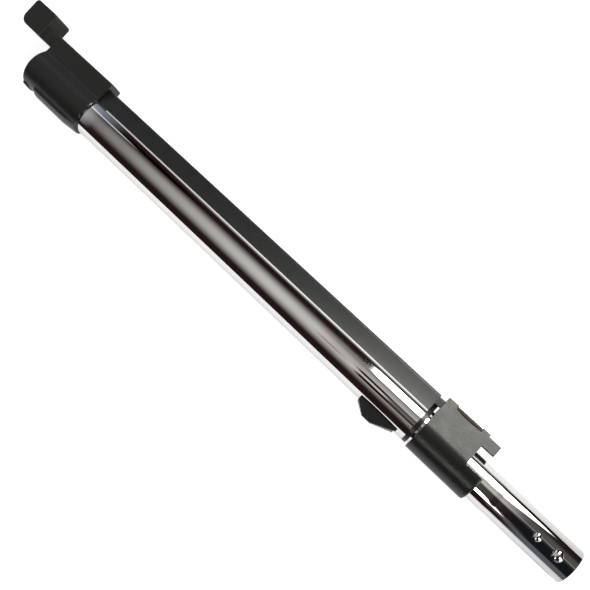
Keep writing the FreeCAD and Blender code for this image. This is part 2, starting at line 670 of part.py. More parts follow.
def inner_tube():
    land = SLEEVE_X1 + LAND_START
    taper = land + LAND_LENGTH
    tip_r = HOSE_END_R - END_TAPER
    tube = turned_x([(INNER_X0, INNER_BORE), (INNER_X0, INNER_R), (land - SWAGE_LENGTH, INNER_R),
                     (land, HOSE_END_R), (taper, HOSE_END_R), (INNER_X1 - END_ROUND, tip_r),
                     (INNER_X1, tip_r - END_ROUND), (INNER_X1, HOSE_BORE), (land, HOSE_BORE),
                     (land - SWAGE_LENGTH, INNER_BORE)])
    dimple_r = ROLLER_R + SLIP
    dimple_y = -(INNER_R - DIMPLE_DEPTH + dimple_r)
    core = rod_x(INNER_BORE, (INNER_X0, INNER_X1))
    bosses = [rod_z(dimple_r + TUBE_WALL, both(INNER_R), x, dimple_y).common(core) for x in dimple_places()]
    dents = [rod_z(dimple_r, both(INNER_R), x, dimple_y) for x in dimple_places()]
    holes = [rod_z(radius + SLIP, (0, INNER_R + OVERRUN), x, 0) for x, radius, rise in hose_end_buttons()]
    return tube.fuse(bosses).removeSplitter().cut(dents + holes)


def end_guide():
    x1 = INNER_X0 + GUIDE_LENGTH - GUIDE_RIM
    groove = INNER_X0 + (GUIDE_LENGTH - GUIDE_RIM - SEAL_WIDTH) / 2
    outer = OUTER_BORE - SLIP
    return turned_x([(INNER_X0 - GUIDE_RIM, INNER_BORE), (INNER_X0 - GUIDE_RIM, outer), (groove, outer),
                     (groove, outer - SEAL_DEPTH), (groove + SEAL_WIDTH, outer - SEAL_DEPTH),
                     (groove + SEAL_WIDTH, outer), (x1, outer), (x1, INNER_R + SEAT),
                     (INNER_X0 - SEAT, INNER_R + SEAT), (INNER_X0 - SEAT, INNER_BORE)])


def slide_seal():
    groove = INNER_X0 + (GUIDE_LENGTH - GUIDE_RIM - SEAL_WIDTH) / 2
    return ring_x(OUTER_BORE - SEAL_SLIP, OUTER_BORE - SLIP - SEAL_DEPTH + SEAT,
                  (groove + SEAT, groove + SEAL_WIDTH - SEAT))


def inner_rail():
    span = (OUTER_X0 + RAIL_START, RAIL_X1)
    section = rail_section()
    rail = ridge_x(section, span)
    top, half = section[-1]
    rail = rail.makeFillet(RAIL_ROUND, edges_on(rail, y=top, z=half) + edges_on(rail, y=top, z=-half))
    hollow = rail_section(RAIL_WALL)
    below = (RAIL_FOOT - OVERRUN, hollow[0][1])
    return rail.cut(ridge_x([below] + hollow, (span[0] - OVERRUN, span[1] + OVERRUN)))


def collar_block():
    # the section is a round back that runs into two flat flanks
    foot_y = COLLAR_R * math.sin(COLLAR_LEAN)
    near, far = [[FreeCAD.Vector(COLLAR_X0, y, side * collar_half(y)) for y in (foot_y, COLLAR_TOP)]
                 for side in (1, -1)]
    back = Part.Arc(near[0], FreeCAD.Vector(COLLAR_X0, -COLLAR_R, 0), far[0]).toShape()
    outline = Part.Wire([back, Part.makeLine(far[0], far[1]), Part.makeLine(far[1], near[1]),
                         Part.makeLine(near[1], near[0])])
    block = Part.Face(outline).extrude(FreeCAD.Vector(COLLAR_LENGTH, 0, 0))
    half = collar_half(COLLAR_TOP)
    block = block.makeFillet(COLLAR_ROUND, edges_on(block, y=COLLAR_TOP, z=half)
                             + edges_on(block, y=COLLAR_TOP, z=-half))
    sleeve = rod_x(COLLAR_R, (COLLAR_X0, SLEEVE_X1))
    sleeve = sleeve.makeFillet(SLEEVE_ROUND, edges_on(sleeve, x=SLEEVE_X1))
    sleeve = sleeve.common(box((COLLAR_X0, SLEEVE_X1), (-COLLAR_R, SLEEVE_EDGE), both(COLLAR_R)))
    return block.fuse(sleeve).removeSplitter()


def on_flank(shape):
    # moves a shape from the plane z = -COLLAR_R to the collar's hidden flank
    shape.rotate(FreeCAD.Vector(0, 0, 0), FreeCAD.Vector(1, 0, 0), COLLAR_TILT)
    return shape


def along_flank(y):
    # the distance along the flank that lies at this height
    return (y - COLLAR_R * math.sin(COLLAR_LEAN)) / math.cos(COLLAR_LEAN)


def cover_span(clear):
    margin, ledge = COVER_MARGIN + clear, COVER_LEDGE + clear
    return ((WIRE_ROOM_X0 - margin, WIRE_ROOM_X1 + margin),
            (along_flank(WIRE_ROOM_FLOOR) - ledge, along_flank(WIRE_ROOM_TOP) + ledge))


def collar_screw_places():
    inset = COVER_MARGIN / 2
    middle = along_flank((WIRE_ROOM_FLOOR + WIRE_ROOM_TOP) / 2)
    return [(WIRE_ROOM_X0 - inset, middle), (WIRE_ROOM_X1 + inset, middle)]


def button_pocket():
    # the pocket under the collar's button, with room at its ends for the button's lugs
    wide = (BUTTON_X0 - BUTTON_LUG - SLIP, BUTTON_X1 + BUTTON_LUG + SLIP)
    narrow = (BUTTON_X0 - SLIP, BUTTON_X1 + SLIP)
    across = both(BUTTON_HALF + SLIP)
    low = box(wide, (POCKET_Y, BUTTON_FOOT + BUTTON_LUG_HEIGHT + SLIP), across)
    high = box(narrow, (POCKET_Y, COLLAR_TOP + OVERRUN), across)
    chord = (BUTTON_LENGTH + 2 * SLIP) / 2
    sag_r = (chord ** 2 + NOTCH_SAG ** 2) / (2 * NOTCH_SAG)
    notch = rod_z(sag_r, both(COLLAR_R), (narrow[0] + narrow[1]) / 2, NOTCH_Y + sag_r)
    notch = notch.common(box(narrow, (NOTCH_Y, COLLAR_TOP + OVERRUN), both(COLLAR_R)))
    return low.fuse([high, notch]).removeSplitter()


def blade_slots():
    # the way of the blades' tails from the shroud to the wire room
    tail = (PLUG_FLOOR + PLUG_WALL, PLUG_FLOOR + PLUG_WALL + TAIL_HEIGHT + 2 * SEAT)
    return [box((WIRE_ROOM_X1 - OVERRUN, PLUG_X0 + PLUG_BACK + OVERRUN), tail,
                both(BLADE_THICK / 2 + SEAT, side * BLADE_Z)) for side in (-1, 1)]


def connector_collar():
    block = collar_block()
    room_z = (-COLLAR_R, collar_half(WIRE_ROOM_TOP) - WIRE_ROOM_WALL)
    cover_x, cover_y = cover_span(SEAT)
    cuts = [
        rod_x(INNER_R + SEAT, (COLLAR_X0 - OVERRUN, SLEEVE_X1 + OVERRUN)),
        ridge_x(rail_section(-SEAT), (COLLAR_X0 - OVERRUN, RAIL_X1 + SEAT)),
        box((WIRE_ROOM_X0, WIRE_ROOM_X1), (WIRE_ROOM_FLOOR, WIRE_ROOM_TOP), room_z),
        box((RAIL_X1 - OVERRUN, WIRE_ROOM_X0 + OVERRUN), (RAIL_FOOT, WIRE_ROOM_TOP), both(WIRE_PASS_HALF)),
        on_flank(box(cover_x, cover_y, (-COLLAR_R - OVERRUN, -COLLAR_R + COVER_THICK + SEAT))),
        button_pocket(),
        ridge_x(plug_section(-SEAT), (PLUG_X0 - SEAT, COLLAR_X1 + OVERRUN)),
    ]
    cuts += blade_slots()
    bottom = -COLLAR_R + HEAD_DEPTH + COVER_SCREW_LENGTH + SEAT
    cuts += [on_flank(rod_z(SCREW_R + SEAT, (-COLLAR_R - OVERRUN, bottom), x, y))
             for x, y in collar_screw_places()]
    return block.cut(cuts)


def collar_cover():
    x, y = cover_span(0)
    plate = box(x, y, (-COLLAR_R, -COLLAR_R + COVER_THICK))
    cuts = []
    for px, py in collar_screw_places():
        cuts.append(rod_z(HEAD_R + SEAT, (-COLLAR_R - OVERRUN, -COLLAR_R + HEAD_DEPTH), px, py))
        cuts.append(rod_z(SCREW_R + SEAT, (-COLLAR_R, -COLLAR_R + COVER_THICK + OVERRUN), px, py))
    return on_flank(plate.cut(cuts))


def collar_screws():
    screws = []
    for x, y in collar_screw_places():
        one = screw(COVER_SCREW_LENGTH)
        one.rotate(FreeCAD.Vector(0, 0, 0), FreeCAD.Vector(1, 0, 0), 180)
        one.translate(FreeCAD.Vector(x, y, -COLLAR_R + HEAD_DEPTH))
        screws.append(on_flank(one))
    return Part.makeCompound(screws)


def plug_shroud():
    section = plug_section()
    shroud = ridge_x(section, (PLUG_X0, PLUG_X1))
    long_edges = [edge for y, half in section for side in (-1, 1)
                  for edge in edges_on(shroud, y=y, z=side * half)]
    shroud = shroud.makeFillet(PLUG_EDGE, long_edges)
    mouth = ridge_x(plug_section(PLUG_WALL), (PLUG_X0 + PLUG_BACK, PLUG_X1 + OVERRUN))
    return shroud.cut([mouth] + blade_slots())


def contact_blade(side):
    floor = PLUG_FLOOR + PLUG_WALL
    root = PLUG_X0 + PLUG_BACK
    tip = PLUG_X1 - BLADE_SETBACK
    tail = PLUG_X0 - TAIL_LENGTH
    tail_y = (floor + SEAT, floor + SEAT + TAIL_HEIGHT)
    blade_y = (floor + BLADE_MARGIN, PLUG_TOP - PLUG_WALL - BLADE_MARGIN)
    outline = [(tail, tail_y[0]), (root + BLADE_THICK, tail_y[0]), (root + BLADE_THICK, blade_y[0]),
               (tip, blade_y[0]), (tip, blade_y[1]), (root + SEAT, blade_y[1]), (root + SEAT, tail_y[1]),
               (tail, tail_y[1])]
    return plate_z(outline, both(BLADE_THICK / 2, side * BLADE_Z))


def contact_blades():
    return Part.makeCompound([contact_blade(side) for side in (-1, 1)])


def button_leaf():
    x0 = SLEEVE_X1 + LEAF_START
    x1 = SLEEVE_X1 + LOCK_BUTTON_X + LEAF_TAIL
    pad_z = math.sqrt(HOSE_BORE ** 2 - LEAF_HALF ** 2) - SEAT
    top = [(x0, pad_z), (x0 + LEAF_PAD, pad_z), (x0 + LEAF_PAD + LEAF_BEND, LEAF_TOP), (x1, LEAF_TOP)]
    outline = top + [(x, z - LEAF_THICK) for x, z in reversed(top)]
    return plate_y(outline, both(LEAF_HALF))


def hose_end_button(place, radius, rise):
    # a domed pin on a base that the leaf carries
    foot = LEAF_TOP + SEAT
    top = HOSE_END_R + rise
    dome_r = (radius ** 2 + rise ** 2) / (2 * rise)
    dome = Part.makeSphere(dome_r, FreeCAD.Vector(place, 0, top - dome_r))
    cap = rod_z(radius, (foot, top), place, 0).common(dome)
    skirt = rod_z(radius, (foot, HOSE_END_R), place, 0)
    base = rod_z(radius + BUTTON_SHOULDER, (foot, foot + BUTTON_BASE), place, 0)
    return base.fuse([skirt, cap]).removeSplitter()


def front_button():
    return hose_end_button(*hose_end_buttons()[0])


def lock_button():
    return hose_end_button(*hose_end_buttons()[1])


def collar_button():
    cap = box((BUTTON_X0, BUTTON_X1), (BUTTON_FOOT, BUTTON_TOP), both(BUTTON_HALF))
    cap = cap.makeFillet(BUTTON_ROUND, edges_on(cap, y=BUTTON_TOP, z=BUTTON_HALF)
                         + edges_on(cap, y=BUTTON_TOP, z=-BUTTON_HALF))
    lugs = [box(span, (BUTTON_FOOT, BUTTON_FOOT + BUTTON_LUG_HEIGHT), both(BUTTON_LUG_HALF))
            for span in ((BUTTON_X0 - BUTTON_LUG, BUTTON_X0), (BUTTON_X1, BUTTON_X1 + BUTTON_LUG))]
    hollow = box((BUTTON_X0 + BUTTON_WALL, BUTTON_X1 - BUTTON_WALL),
                 (BUTTON_FOOT - OVERRUN, BUTTON_TOP - BUTTON_WALL), both(BUTTON_HALF - BUTTON_ROUND))
    return cap.fuse(lugs).removeSplitter().cut(hollow)


def button_coil():
    room = BUTTON_TOP - BUTTON_WALL - POCKET_Y
    spring = coil(BUTTON_COIL_R, BUTTON_WIRE_R, BUTTON_TURNS, room - 2 * SEAT)
    spring.rotate(FreeCAD.Vector(0, 0, 0), FreeCAD.Vector(1, 0, 0), -90)
    spring.translate(FreeCAD.Vector((BUTTON_X0 + BUTTON_X1) / 2, POCKET_Y + SEAT, 0))
    return spring


PIECES = (
    outer_tube, nozzle_cuff, cuff_lid, lid_screws, pedal_spring, cord_channel, guide_bush, latch_bed,
    thumb_slider, roller_spring, lock_roller, release_pedal, neck_catch, catch_pin,
    inner_tube, end_guide, slide_seal, inner_rail, connector_collar, collar_cover, collar_screws,
    plug_shroud, contact_blades, button_leaf, front_button, lock_button, collar_button, button_coil)

os.makedirs("parts", exist_ok=True)
for piece in PIECES:
    piece().exportStep(os.path.join("parts", piece.__name__ + ".step"))
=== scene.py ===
import json
import math

import bmesh
import bpy
from mathutils import Matrix, Vector


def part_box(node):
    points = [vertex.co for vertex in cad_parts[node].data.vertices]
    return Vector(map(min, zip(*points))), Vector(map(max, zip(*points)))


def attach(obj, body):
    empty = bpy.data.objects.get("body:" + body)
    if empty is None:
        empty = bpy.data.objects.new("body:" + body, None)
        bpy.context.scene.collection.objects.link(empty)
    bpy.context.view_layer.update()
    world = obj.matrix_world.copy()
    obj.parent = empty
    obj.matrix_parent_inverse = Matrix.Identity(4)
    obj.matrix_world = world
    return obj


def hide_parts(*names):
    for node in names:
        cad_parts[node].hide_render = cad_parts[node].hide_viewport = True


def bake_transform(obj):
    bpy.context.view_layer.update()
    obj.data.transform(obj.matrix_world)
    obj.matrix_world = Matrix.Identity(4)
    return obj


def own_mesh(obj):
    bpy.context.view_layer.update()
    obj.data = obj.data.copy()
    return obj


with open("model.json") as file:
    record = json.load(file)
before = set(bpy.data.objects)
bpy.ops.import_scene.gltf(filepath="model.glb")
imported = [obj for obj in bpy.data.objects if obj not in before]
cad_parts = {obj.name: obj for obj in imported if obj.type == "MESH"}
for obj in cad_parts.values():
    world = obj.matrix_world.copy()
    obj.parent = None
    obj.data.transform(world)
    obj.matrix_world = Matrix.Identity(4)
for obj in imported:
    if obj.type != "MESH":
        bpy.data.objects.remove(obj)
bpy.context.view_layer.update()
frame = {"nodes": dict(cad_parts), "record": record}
record = frame["record"]
scene = bpy.context.scene
scene.view_settings.view_transform = "Standard"

MM = 0.001
MERGE = 0.001 * MM              # vertices nearer than this are one
FLAT = math.radians(0.6)        # faces this near to one plane become one
SHARP = math.radians(32)        # an edge that turns more than this is a corner
ROUND_SEGMENTS = 2              # faces across a rounded corner
WHITE = (1.0, 1.0, 1.0, 1.0)


# Node helpers


def place(tree, kind, feeds=None, **settings):
    """Add a node, set its options and feed its inputs with values or with other nodes' outputs."""
    node = tree.nodes.new(kind)
    for name, value in settings.items():
        setattr(node, name, value)
    for name, value in (feeds or {}).items():
        if isinstance(value, bpy.types.NodeSocket):
            tree.links.new(value, node.inputs[name])
        else:
            node.inputs[name].default_value = value
    return node


def sums(tree, operation, first, second):
    """Work out one value from two."""
    return place(tree, "ShaderNodeMath", {0: first, 1: second}, operation=operation).outputs[0]


def ramp(tree, value, low, high, start=0.0, end=1.0, kind="SMOOTHSTEP"):
    """Run from start to end while the value runs from low to high."""
    feeds = {"Value": value, "From Min": low, "From Max": high, "To Min": start, "To Max": end}
    return place(tree, "ShaderNodeMapRange", feeds, interpolation_type=kind).outputs["Result"]


def stretched(tree, spot, by):
    """Scale places axis by axis, so that a pattern on them is drawn out."""
    return place(tree, "ShaderNodeVectorMath", {0: spot, 1: by}, operation="MULTIPLY").outputs[0]


def noise(tree, spot, scale, detail, **shape):
    """Soft patches without order, about as many to a metre as the scale says."""
    feeds = {"Vector": spot, "Scale": scale, "Detail": detail, **shape}
    return place(tree, "ShaderNodeTexNoise", feeds).outputs[0]


def new_group(name, inputs, outputs):
    """Start a node group with named value inputs and outputs."""
    tree = bpy.data.node_groups.new(name, "ShaderNodeTree")
    for label, value in inputs.items():
        kind = "NodeSocketFloat" if isinstance(value, float) else "NodeSocketVector"
        tree.interface.new_socket(label, in_out="INPUT", socket_type=kind).default_value = value
    for label in outputs:
        tree.interface.new_socket(label, in_out="OUTPUT", socket_type="NodeSocketFloat")
    return tree, tree.nodes.new("NodeGroupInput").outputs, tree.nodes.new("NodeGroupOutput").inputs


def use_group(tree, group, feeds):
    """Place a node group and give its outputs."""
    return place(tree, "ShaderNodeGroup", feeds, node_tree=group).outputs


# Shared surface effects

TONE_SCALE = 38.0               # slow changes of tone in the plastics
RUB_SCALE = 130.0               # places that are rubbed smoother
STREAK_SCALE = 160.0            # broad streaks along drawn metal
SMEAR_SCALE = 24.0              # dull smears on plating
SCRATCH_SCALE = 900.0
SCRATCH_STRETCH = (0.06, 1.0, 1.0)
RUBBED = (0.42, 0.72)           # where each kind of noise starts to show, and where it shows in full
SMEARED = (0.45, 0.75)
SCRATCHED = (0.66, 0.74)
SCRATCH_DULLS = 0.02            # what a scratch adds to the roughness


def moulded_grain():
    """The spark texture of a mould, with slow changes of tone and gloss."""
    tree, given, out = new_group(
        "moulded_grain", {"Place": (0.0, 0.0, 0.0), "Grain size": 0.0006}, ["Height", "Tone", "Gloss"])
    fine = sums(tree, "DIVIDE", 1.0, given["Grain size"])
    rub = noise(tree, given["Place"], RUB_SCALE, 5.0, Roughness=0.62)
    tree.links.new(noise(tree, given["Place"], fine, 3.0), out["Height"])
    tree.links.new(noise(tree, given["Place"], TONE_SCALE, 4.0), out["Tone"])
    tree.links.new(ramp(tree, rub, *RUBBED), out["Gloss"])
    return tree


def drawn_lines():
    """Fine lines along the length, as drawing or extruding leaves."""
    tree, given, out = new_group(
        "drawn_lines", {"Place": (0.0, 0.0, 0.0), "Line spacing": 0.0008, "Stretch": 0.01},
        ["Height", "Streak"])
    long_way = place(tree, "ShaderNodeCombineXYZ", {"X": given["Stretch"], "Y": 1.0, "Z": 1.0})
    pulled = stretched(tree, given["Place"], long_way.outputs[0])
    fine = sums(tree, "DIVIDE", 1.0, given["Line spacing"])
    tree.links.new(noise(tree, pulled, fine, 3.0), out["Height"])
    tree.links.new(noise(tree, pulled, STREAK_SCALE, 3.0), out["Streak"])
    return tree


def handling_marks():
    """Dull smears and a few fine scratches along the length, as a plated surface gets in use."""
    tree, given, out = new_group("handling_marks", {"Place": (0.0, 0.0, 0.0)}, ["Smear", "Scratch"])
    smear = noise(tree, given["Place"], SMEAR_SCALE, 5.0, Roughness=0.6, Distortion=0.6)
    scratch = noise(tree, stretched(tree, given["Place"], SCRATCH_STRETCH), SCRATCH_SCALE, 2.0)
    tree.links.new(ramp(tree, smear, *SMEARED), out["Smear"])
    tree.links.new(ramp(tree, scratch, *SCRATCHED), out["Scratch"])
    return tree


GRAIN = moulded_grain()
LINES = drawn_lines()
MARKS = handling_marks()


# Materials, one for each finish. Each has a darker and a lighter colour and a range of roughness that its
# pattern runs between, and sizes in metres

SHEEN = 0.41                    # how much the plastics mirror
ROLLED_STRETCH = 0.2            # the lines on plain metal are shorter than on a drawn tube


def new_material(name):
    """Start a material, and give its shader and the places on the piece."""
    material = bpy.data.materials.new(name)
    material.use_nodes = True
    tree = material.node_tree
    shader = next(node for node in tree.nodes if node.type == "BSDF_PRINCIPLED")
    spot = place(tree, "ShaderNodeTexCoord").outputs["Object"]
    return material, tree, shader, spot


def colour_by(tree, shader, mask, start, end):
    """Run the colour from start to end as a mask rises."""
    mix = place(tree, "ShaderNodeMix", {0: mask, 6: (*start, 1.0), 7: (*end, 1.0)}, data_type="RGBA")
    tree.links.new(mix.outputs[2], shader.inputs["Base Color"])


def roughness_by(tree, mask, start, end):
    """A roughness that runs from start to end as a mask rises."""
    return ramp(tree, mask, 0.0, 1.0, start, end, "LINEAR")


def raise_by(tree, shader, height, distance):
    """Raise the surface by a pattern, as much as the distance says."""
    bump = place(tree, "ShaderNodeBump", {"Height": height, "Distance": distance, "Strength": 1.0})
    tree.links.new(bump.outputs[0], shader.inputs["Normal"])


def plated(name, dark, light, rough, wave):
    """Bright plating: smears dull it, and faint lines run along it."""
    material, tree, shader, spot = new_material(name)
    marks = use_group(tree, MARKS, {"Place": spot})
    lines = use_group(tree, LINES, {"Place": spot})
    shader.inputs["Metallic"].default_value = 1.0
    colour_by(tree, shader, marks["Smear"], light, dark)
    dull = sums(tree, "ADD", roughness_by(tree, marks["Smear"], *rough),
                sums(tree, "MULTIPLY", marks["Scratch"], SCRATCH_DULLS))
    tree.links.new(dull, shader.inputs["Roughness"])
    raise_by(tree, shader, lines["Streak"], wave)
    return material


def moulded(name, dark, light, rough, grain_size, depth):
    """Moulded plastic or rubber with a fine grain, rubbed smoother in places."""
    material, tree, shader, spot = new_material(name)
    grain = use_group(tree, GRAIN, {"Place": spot, "Grain size": grain_size})
    colour_by(tree, shader, grain["Tone"], dark, light)
    tree.links.new(roughness_by(tree, grain["Gloss"], *reversed(rough)), shader.inputs["Roughness"])
    shader.inputs["Specular IOR Level"].default_value = SHEEN
    raise_by(tree, shader, grain["Height"], depth)
    return material


def extruded(name, dark, light, rough, spacing, depth):
    """Smooth extruded plastic with faint lines along its length."""
    material, tree, shader, spot = new_material(name)
    lines = use_group(tree, LINES, {"Place": spot, "Line spacing": spacing})
    grain = use_group(tree, GRAIN, {"Place": spot})
    colour_by(tree, shader, lines["Streak"], dark, light)
    tree.links.new(roughness_by(tree, grain["Gloss"], *reversed(rough)), shader.inputs["Roughness"])
    shader.inputs["Specular IOR Level"].default_value = SHEEN
    raise_by(tree, shader, lines["Height"], depth)
    return material


def bare_metal(name, dark, light, rough, spacing, depth):
    """Plain metal, drawn or rolled, with smears."""
    material, tree, shader, spot = new_material(name)
    lines = use_group(tree, LINES, {"Place": spot, "Line spacing": spacing, "Stretch": ROLLED_STRETCH})
    marks = use_group(tree, MARKS, {"Place": spot})
    shader.inputs["Metallic"].default_value = 1.0
    colour_by(tree, shader, lines["Streak"], dark, light)
    tree.links.new(roughness_by(tree, marks["Smear"], *rough), shader.inputs["Roughness"])
    raise_by(tree, shader, lines["Height"], depth)
    return material


finishes = {
    "chrome_tube": plated(
        "chrome_tube_finish", dark=(0.76, 0.76, 0.76), light=(0.82, 0.82, 0.83), rough=(0.025, 0.06),
        wave=0.0000015),
    "black_plastic": moulded(
        "black_moulding_finish", dark=(0.0062, 0.0068, 0.0064), light=(0.0098, 0.0104, 0.0100),
        rough=(0.30, 0.34), grain_size=0.0012, depth=0.00007),
    "channel_plastic": extruded(
        "channel_finish", dark=(0.0055, 0.0068, 0.0070), light=(0.0085, 0.0100, 0.0103), rough=(0.29, 0.33),
        spacing=0.0007, depth=0.00001),
    "bright_metal": plated(
        "bright_button_finish", dark=(0.76, 0.76, 0.75), light=(0.83, 0.83, 0.83), rough=(0.04, 0.10),
        wave=0.000004),
    "spring_steel": bare_metal(
        "spring_steel_finish", dark=(0.42, 0.42, 0.43), light=(0.56, 0.56, 0.57), rough=(0.22, 0.36),
        spacing=0.0004, depth=0.00001),
    "contact_brass": bare_metal(
        "contact_brass_finish", dark=(0.70, 0.53, 0.22), light=(0.82, 0.65, 0.31), rough=(0.20, 0.34),
        spacing=0.0004, depth=0.00001),
    "seal_rubber": moulded(
        "seal_rubber_finish", dark=(0.024, 0.024, 0.024), light=(0.036, 0.036, 0.036), rough=(0.62, 0.74),
        grain_size=0.0004, depth=0.00003),
    "guide_plastic": moulded(
        "guide_finish", dark=(0.66, 0.66, 0.63), light=(0.73, 0.73, 0.71), rough=(0.36, 0.46),
        grain_size=0.0005, depth=0.00002),
    "screw_steel": bare_metal(
        "screw_finish", dark=(0.36, 0.36, 0.37), light=(0.48, 0.48, 0.49), rough=(0.24, 0.36),
        spacing=0.0003, depth=0.00001),
}

slot_of = {part["node"]: part["material_slot"] for part in record["subparts"]}
body_of = {node: body for body, nodes in record["behaviour"]["bodies"].items() for node in nodes}

for node, piece in frame["nodes"].items():
    piece.data.materials.clear()
    piece.data.materials.append(finishes[slot_of[node]])


# Pieces dressed from the solids

ROUND_ABOUT_AXIS = ("outer_tube", "inner_tube")
TUBE_RADIUS = {node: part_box(node)[1].z for node in ROUND_ABOUT_AXIS}
HOSE_RADIUS = next(mount["dims"]["r_mm"] for mount in record["mounts"] if mount["name"] == "hose_end") * MM
SKIN = 0.45 * MM                # a vertex this near to a tube's outside is on it, the hose end's taper too
FACET = math.radians(12)        # a bore's face turns no further than this from the true curve
SWAGE = (0.5590, 0.5665)        # where the inner tube narrows to the hose end
SWAGE_RINGS = 10
SWAGE_LEAN = 0.008              # the most that the shading of the neck leans along the axis


def swage_share(x):
    """How far along the inner tube's neck a place is, from 0 to 1."""
    start, end = SWAGE
    return max(0.0, min(1.0, (x - start) / (end - start)))


def outside_radius(node, x):
    """The outer radius of a tube, with the inner one's step to the hose end drawn out into a neck."""
    wide = TUBE_RADIUS[node]
    if node != "inner_tube":
        return wide
    share = swage_share(x)
    return wide + (HOSE_RADIUS - wide) * share * share * (3 - 2 * share)


def ease_swage(shape, node):
    """Draw the tube's step to the hose end out into a smooth neck."""
    start, end = SWAGE
    middle = (outside_radius(node, start) + outside_radius(node, end)) / 2
    step = outside_radius(node, start) - outside_radius(node, end)
    for ring in range(SWAGE_RINGS + 1):
        cut = start + (end - start) * ring / SWAGE_RINGS
        bmesh.ops.bisect_plane(shape, geom=shape.verts[:] + shape.edges[:] + shape.faces[:], dist=MERGE,
                               plane_co=(cut, 0.0, 0.0), plane_no=(1.0, 0.0, 0.0))
    for vert in shape.verts:
        radius = vert.co.yz.length
        if start - MERGE <= vert.co.x <= end + MERGE and radius > middle - step:
            vert.co.yz = vert.co.yz * (outside_radius(node, vert.co.x) / radius)


def shade_round(mesh, node):
    """Shade the faces that lie round the tubes' axis as the true curve, and the others flat."""
    bends = []
    for face in mesh.polygons:
        corners = [mesh.vertices[mesh.loops[index].vertex_index].co for index in face.loop_indices]
        outside = all(spot.yz.length > outside_radius(node, spot.x) - SKIN for spot in corners)
        turn = Vector((0.0, face.normal.y, face.normal.z))
        for spot in corners:
            out = Vector((0.0, spot.y, spot.z)).normalized()
            share = swage_share(spot.x) if node == "inner_tube" else 0.0
            if outside and abs(face.normal.x) < turn.length:
                bends.append((4 * SWAGE_LEAN * share * (1 - share), out.y, out.z))
            elif turn.length and out.angle(-turn) < FACET:
                bends.append((-out)[:])
            else:
                bends.append(face.normal[:])
    mesh.normals_split_custom_set(bends)


def dressed(node, round_by=0.0, rides=True):
    """Copy a node's mesh, join its triangles into faces and round its corners."""
    mesh = bpy.data.meshes.new(node + "_dressed")
    shape = bmesh.new()
    shape.from_mesh(frame["nodes"][node].data)
    bmesh.ops.remove_doubles(shape, verts=shape.verts, dist=MERGE)
    bmesh.ops.dissolve_limit(shape, angle_limit=FLAT, verts=shape.verts, edges=shape.edges)
    if node == "inner_tube":
        ease_swage(shape, node)
    if round_by:
        corners = [edge for edge in shape.edges if edge.is_manifold and edge.calc_face_angle() > SHARP]
        bmesh.ops.bevel(shape, geom=corners, offset=round_by * MM, offset_type="OFFSET",
                        segments=ROUND_SEGMENTS, profile=0.5, affect="EDGES", clamp_overlap=True,
                        loop_slide=True, material=-1)
    for face in shape.faces:
        face.smooth = True
    for edge in shape.edges:
        edge.smooth = not (edge.is_manifold and edge.calc_face_angle() > SHARP)
    shape.to_mesh(mesh)
    shape.free()
    piece = bpy.data.objects.new(node + "_dressed", mesh)
    scene.collection.objects.link(piece)
    mesh.materials.append(finishes[slot_of[node]])
    if node in ROUND_ABOUT_AXIS:
        shade_round(mesh, node)
    else:
        evened = piece.modifiers.new("even_shading", "WEIGHTED_NORMAL")
        evened.keep_sharp = True
    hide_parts(node)
    if rides:
        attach(piece, body_of[node])
    return piece


ROUNDING = {     # millimetres taken off each piece's corners
    "outer_tube": 0.0, "inner_tube": 0.0, "nozzle_cuff": 0.35, "cuff_lid": 0.3, "release_pedal": 0.3,
    "cord_channel": 0.2, "guide_bush": 0.2, "thumb_slider": 0.12, "inner_rail": 0.2,
    "connector_collar": 0.35, "plug_shroud": 0.25, "collar_button": 0.25, "collar_cover": 0.2,
    "front_button": 0.0, "lock_button": 0.0, "lock_roller": 0.0, "neck_catch": 0.15, "end_guide": 0.1,
    "latch_bed": 0.05, "contact_blades": 0.1, "slide_seal": 0.0, "catch_pin": 0.1, "lid_screws": 0.0,
    "collar_screws": 0.0,
}
for node, round_by in ROUNDING.items():
    dressed(node, round_by)


# Springs, dressed with meshes of their own


def sprung(node):
    """Dress a coil and give it a mesh of its own."""
    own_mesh(dressed(node))


sprung("pedal_spring")
sprung("roller_spring")
sprung("button_coil")
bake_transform(dressed("button_leaf", rides=False))


# Floor

FLOOR_LEVEL = -0.0205
FLOOR_HALF = 6.0                # from its middle to each side
FLOOR_MIDDLE = 0.3              # under the middle of the wand
FLOOR_GREY = (0.5, 0.5, 0.5, 1.0)
FLOOR_TO_EYE = 0.845            # the glow that makes the floor white to the eye
# Painted shade: the mirrored glow is dimmed behind the wand towards the nozzle, and past the hose end
# The glow that the chrome mirrors: from where and to where it changes, and its share at each
FLOOR_SHADE_BEHIND = (0.0, 0.04, 1.0)             # across the wand, to the share that holds behind it
FLOOR_SHADE_NOZZLE = (-0.20, 0.32, 0.05, 1.0)     # along it, behind it only
FLOOR_SHADE_HOSE = (0.54, 0.70, 0.60, 0.26)       # along it


def white_to_eye(tree):
    """One where the camera, a mirror or a clear piece looks straight at a surface."""
    rays = place(tree, "ShaderNodeLightPath").outputs
    seen = sums(tree, "MAXIMUM", rays["Is Camera Ray"], rays["Is Glossy Ray"])
    return sums(tree, "MAXIMUM", seen, rays["Is Transmission Ray"])


